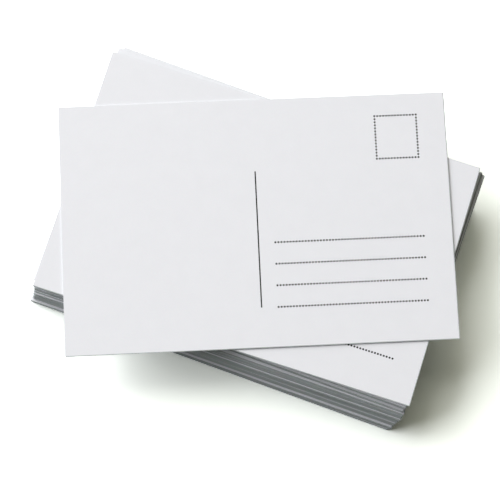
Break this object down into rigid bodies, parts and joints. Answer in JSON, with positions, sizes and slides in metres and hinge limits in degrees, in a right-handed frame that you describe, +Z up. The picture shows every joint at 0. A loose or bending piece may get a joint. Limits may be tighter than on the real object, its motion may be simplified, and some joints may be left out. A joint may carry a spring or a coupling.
{
  "type": "pile of postcards",
  "caption": "Loose pile of blank postcards with the top card lying askew; cards turn on one another and the top card lifts off.",
  "frame": {"origin": "middle of the bottom card's underside, on the table", "axes": "+X along the bottom card's long edges, +Y along its short edges, +Z up through the pile"},
  "size_m": [0.1638, 0.1368, 0.02],
  "materials": {
    "card": "uncoated white postcard board, matt",
    "ink": "matt dark grey printing ink, soaked into the board"
  },
  "bodies": {
    "pile_card_01": {"pile_card_01": "card"},
    "pile_card_02": {"pile_card_02": "card"},
    "pile_card_03": {"pile_card_03": "card"},
    "pile_card_04": {"pile_card_04": "card"},
    "pile_card_05": {"pile_card_05": "card"},
    "pile_card_06": {"pile_card_06": "card"},
    "pile_card_07": {"pile_card_07": "card"},
    "pile_card_08": {"pile_card_08": "card"},
    "pile_card_09": {"pile_card_09": "card"},
    "pile_card_10": {"pile_card_10": "card"},
    "pile_card_11": {"pile_card_11": "card"},
    "pile_card_12": {"pile_card_12": "card"},
    "pile_card_13": {"pile_card_13": "card"},
    "pile_card_14": {"pile_card_14": "card"},
    "pile_card_15": {"pile_card_15": "card"},
    "pile_card_16": {"pile_card_16": "card"},
    "pile_card_17": {"pile_card_17": "card"},
    "pile_card_18": {"pile_card_18": "card"},
    "pile_card_19": {"pile_card_19": "card"},
    "pile_card_20": {"pile_card_20": "card"},
    "pile_card_21": {"pile_card_21": "card"},
    "pile_card_22": {"pile_card_22": "card"},
    "pile_card_23": {"pile_card_23": "card"},
    "pile_card_24": {"pile_card_24": "card"},
    "pile_card_25": {"pile_card_25": "card"},
    "pile_card_26": {"pile_card_26": "card"},
    "pile_card_27": {"pile_card_27": "card"},
    "pile_card_28": {"pile_card_28": "card"},
    "pile_card_29": {"pile_card_29": "card"},
    "pile_card_30": {"pile_card_30": "card"},
    "pile_card_31": {"pile_card_31": "card"},
    "pile_card_32": {"pile_card_32": "card"},
    "pile_card_33": {"pile_card_33": "card"},
    "pile_card_34": {"pile_card_34": "card"},
    "pile_card_35": {"pile_card_35": "card"},
    "pile_card_36": {"pile_card_36": "card"},
    "pile_card_37": {"pile_card_37": "card"},
    "pile_card_38": {"pile_card_38": "card"},
    "pile_card_39": {"pile_card_39": "card"},
    "pile_card_40": {"pile_card_40": "card"},
    "pile_card_41": {"pile_card_41": "card"},
    "pile_card_42": {"pile_card_42": "card"},
    "pile_card_43": {"pile_card_43": "card"},
    "pile_card_44": {"pile_card_44": "card"},
    "pile_card_45": {"pile_card_45": "card"},
    "pile_card_46": {"pile_card_46": "card"},
    "pile_card_47": {"pile_card_47": "card"},
    "pile_card_48": {"pile_card_48": "card"},
    "second_card": {"second_card": "card", "second_card_divider": "ink", "second_card_address_lines": "ink", "second_card_stamp_frame": "ink"},
    "top_card": {"top_card": "card", "top_card_divider": "ink", "top_card_address_lines": "ink", "top_card_stamp_frame": "ink"}
  },
  "joints": [
    {"name": "top_card_lift", "type": "slide", "parent": "second_card", "child": "top_card", "axis": [0, 0, 1], "range_m": [0, 0.1]},
    {"name": "second_card_turn", "type": "hinge", "parent": "pile_card_48", "child": "second_card", "pos_m": [0.0005, 0.00729, 0.01939], "axis": [0, 0, 1], "continuous": true},
    {"name": "pile_card_48_turn", "type": "hinge", "parent": "pile_card_47", "child": "pile_card_48", "pos_m": [0.00036, 0.00718, 0.01899], "axis": [0, 0, 1], "continuous": true},
    {"name": "pile_card_47_turn", "type": "hinge", "parent": "pile_card_46", "child": "pile_card_47", "pos_m": [0.00035, 0.00734, 0.01859], "axis": [0, 0, 1], "continuous": true},
    {"name": "pile_card_46_turn", "type": "hinge", "parent": "pile_card_45", "child": "pile_card_46", "pos_m": [0.00051, 0.00741, 0.01819], "axis": [0, 0, 1], "continuous": true},
    {"name": "pile_card_45_turn", "type": "hinge", "parent": "pile_card_44", "child": "pile_card_45", "pos_m": [0.00069, 0.00785, 0.01779], "axis": [0, 0, 1], "continuous": true},
    {"name": "pile_card_44_turn", "type": "hinge", "parent": "pile_card_43", "child": "pile_card_44", "pos_m": [0.00089, 0.00791, 0.01739], "axis": [0, 0, 1], "continuous": true},
    {"name": "pile_card_43_turn", "type": "hinge", "parent": "pile_card_42", "child": "pile_card_43", "pos_m": [0.0009, 0.00818, 0.01699], "axis": [0, 0, 1], "continuous": true},
    {"name": "pile_card_42_turn", "type": "hinge", "parent": "pile_card_41", "child": "pile_card_42", "pos_m": [0.00079, 0.00825, 0.01659], "axis": [0, 0, 1], "continuous": true},
    {"name": "pile_card_41_turn", "type": "hinge", "parent": "pile_card_40", "child": "pile_card_41", "pos_m": [0.00162, 0.00849, 0.01619], "axis": [0, 0, 1], "continuous": true},
    {"name": "pile_card_40_turn", "type": "hinge", "parent": "pile_card_39", "child": "pile_card_40", "pos_m": [0.00143, 0.00856, 0.01579], "axis": [0, 0, 1], "continuous": true},
    {"name": "pile_card_39_turn", "type": "hinge", "parent": "pile_card_38", "child": "pile_card_39", "pos_m": [0.00149, 0.00872, 0.01539], "axis": [0, 0, 1], "continuous": true},
    {"name": "pile_card_38_turn", "type": "hinge", "parent": "pile_card_37", "child": "pile_card_38", "pos_m": [0.00109, 0.00736, 0.01499], "axis": [0, 0, 1], "continuous": true},
    {"name": "pile_card_37_turn", "type": "hinge", "parent": "pile_card_36", "child": "pile_card_37", "pos_m": [0.00088, 0.00713, 0.01459], "axis": [0, 0, 1], "continuous": true},
    {"name": "pile_card_36_turn", "type": "hinge", "parent": "pile_card_35", "child": "pile_card_36", "pos_m": [0.00139, 0.00571, 0.01419], "axis": [0, 0, 1], "continuous": true},
    {"name": "pile_card_35_turn", "type": "hinge", "parent": "pile_card_34", "child": "pile_card_35", "pos_m": [0.00129, 0.0056, 0.01379], "axis": [0, 0, 1], "continuous": true},
    {"name": "pile_card_34_turn", "type": "hinge", "parent": "pile_card_33", "child": "pile_card_34", "pos_m": [0.00123, 0.00522, 0.01339], "axis": [0, 0, 1], "continuous": true},
    {"name": "pile_card_33_turn", "type": "hinge", "parent": "pile_card_32", "child": "pile_card_33", "pos_m": [0.00142, 0.00497, 0.01299], "axis": [0, 0, 1], "continuous": true},
    {"name": "pile_card_32_turn", "type": "hinge", "parent": "pile_card_31", "child": "pile_card_32", "pos_m": [0.0012, 0.00494, 0.01259], "axis": [0, 0, 1], "continuous": true},
    {"name": "pile_card_31_turn", "type": "hinge", "parent": "pile_card_30", "child": "pile_card_31", "pos_m": [0.00133, 0.00473, 0.01219], "axis": [0, 0, 1], "continuous": true},
    {"name": "pile_card_30_turn", "type": "hinge", "parent": "pile_card_29", "child": "pile_card_30", "pos_m": [0.00136, 0.00434, 0.01179], "axis": [0, 0, 1], "continuous": true},
    {"name": "pile_card_29_turn", "type": "hinge", "parent": "pile_card_28", "child": "pile_card_29", "pos_m": [0.00119, 0.00418, 0.01139], "axis": [0, 0, 1], "continuous": true},
    {"name": "pile_card_28_turn", "type": "hinge", "parent": "pile_card_27", "child": "pile_card_28", "pos_m": [0.00141, 0.0035, 0.01099], "axis": [0, 0, 1], "continuous": true},
    {"name": "pile_card_27_turn", "type": "hinge", "parent": "pile_card_26", "child": "pile_card_27", "pos_m": [0.00125, 0.0034, 0.01059], "axis": [0, 0, 1], "continuous": true},
    {"name": "pile_card_26_turn", "type": "hinge", "parent": "pile_card_25", "child": "pile_card_26", "pos_m": [0.00126, 0.00323, 0.01019], "axis": [0, 0, 1], "continuous": true},
    {"name": "pile_card_25_turn", "type": "hinge", "parent": "pile_card_24", "child": "pile_card_25", "pos_m": [0.0014, 0.00333, 0.00979], "axis": [0, 0, 1], "continuous": true},
    {"name": "pile_card_24_turn", "type": "hinge", "parent": "pile_card_23", "child": "pile_card_24", "pos_m": [0.00118, 0.00342, 0.00939], "axis": [0, 0, 1], "continuous": true},
    {"name": "pile_card_23_turn", "type": "hinge", "parent": "pile_card_22", "child": "pile_card_23", "pos_m": [0.00137, 0.00325, 0.00899], "axis": [0, 0, 1], "continuous": true},
    {"name": "pile_card_22_turn", "type": "hinge", "parent": "pile_card_21", "child": "pile_card_22", "pos_m": [0.00132, 0.00315, 0.00859], "axis": [0, 0, 1], "continuous": true},
    {"name": "pile_card_21_turn", "type": "hinge", "parent": "pile_card_20", "child": "pile_card_21", "pos_m": [0.00121, 0.0033, 0.00819], "axis": [0, 0, 1], "continuous": true},
    {"name": "pile_card_20_turn", "type": "hinge", "parent": "pile_card_19", "child": "pile_card_20", "pos_m": [0.00142, 0.00331, 0.00779], "axis": [0, 0, 1], "continuous": true},
    {"name": "pile_card_19_turn", "type": "hinge", "parent": "pile_card_18", "child": "pile_card_19", "pos_m": [0.0012, 0.00307, 0.00739], "axis": [0, 0, 1], "continuous": true},
    {"name": "pile_card_18_turn", "type": "hinge", "parent": "pile_card_17", "child": "pile_card_18", "pos_m": [0.00122, 0.00289, 0.00699], "axis": [0, 0, 1], "continuous": true},
    {"name": "pile_card_17_turn", "type": "hinge", "parent": "pile_card_16", "child": "pile_card_17", "pos_m": [0.00123, 0.00287, 0.00659], "axis": [0, 0, 1], "continuous": true},
    {"name": "pile_card_16_turn", "type": "hinge", "parent": "pile_card_15", "child": "pile_card_16", "pos_m": [0.00097, 0.00262, 0.00619], "axis": [0, 0, 1], "continuous": true},
    {"name": "pile_card_15_turn", "type": "hinge", "parent": "pile_card_14", "child": "pile_card_15", "pos_m": [0.00113, 0.00227, 0.00579], "axis": [0, 0, 1], "continuous": true},
    {"name": "pile_card_14_turn", "type": "hinge", "parent": "pile_card_13", "child": "pile_card_14", "pos_m": [0.00094, 0.00218, 0.00539], "axis": [0, 0, 1], "continuous": true},
    {"name": "pile_card_13_turn", "type": "hinge", "parent": "pile_card_12", "child": "pile_card_13", "pos_m": [0.00084, 0.00212, 0.00499], "axis": [0, 0, 1], "continuous": true},
    {"name": "pile_card_12_turn", "type": "hinge", "parent": "pile_card_11", "child": "pile_card_12", "pos_m": [0.00099, 0.00187, 0.00459], "axis": [0, 0, 1], "continuous": true},
    {"name": "pile_card_11_turn", "type": "hinge", "parent": "pile_card_10", "child": "pile_card_11", "pos_m": [0.00075, 0.00165, 0.00419], "axis": [0, 0, 1], "continuous": true},
    {"name": "pile_card_10_turn", "type": "hinge", "parent": "pile_card_09", "child": "pile_card_10", "pos_m": [0.00088, 0.0017, 0.00379], "axis": [0, 0, 1], "continuous": true},
    {"name": "pile_card_09_turn", "type": "hinge", "parent": "pile_card_08", "child": "pile_card_09", "pos_m": [0.00085, 0.00164, 0.00339], "axis": [0, 0, 1], "continuous": true},
    {"name": "pile_card_08_turn", "type": "hinge", "parent": "pile_card_07", "child": "pile_card_08", "pos_m": [0.00059, 0.00061, 0.00299], "axis": [0, 0, 1], "continuous": true},
    {"name": "pile_card_07_turn", "type": "hinge", "parent": "pile_card_06", "child": "pile_card_07", "pos_m": [0.00079, 0.00052, 0.00259], "axis": [0, 0, 1], "continuous": true},
    {"name": "pile_card_06_turn", "type": "hinge", "parent": "pile_card_05", "child": "pile_card_06", "pos_m": [0.00059, 0.00063, 0.00219], "axis": [0, 0, 1], "continuous": true},
    {"name": "pile_card_05_turn", "type": "hinge", "parent": "pile_card_04", "child": "pile_card_05", "pos_m": [0.00062, 0.00052, 0.00179], "axis": [0, 0, 1], "continuous": true},
    {"name": "pile_card_04_turn", "type": "hinge", "parent": "pile_card_03", "child": "pile_card_04", "pos_m": [0.00072, 0.00027, 0.00139], "axis": [0, 0, 1], "continuous": true},
    {"name": "pile_card_03_turn", "type": "hinge", "parent": "pile_card_02", "child": "pile_card_03", "pos_m": [0.00048, 0.00028, 0.00099], "axis": [0, 0, 1], "continuous": true},
    {"name": "pile_card_02_turn", "type": "hinge", "parent": "pile_card_01", "child": "pile_card_02", "pos_m": [0.00015, 0.00019, 0.00059], "axis": [0, 0, 1], "continuous": true}
  ]
}
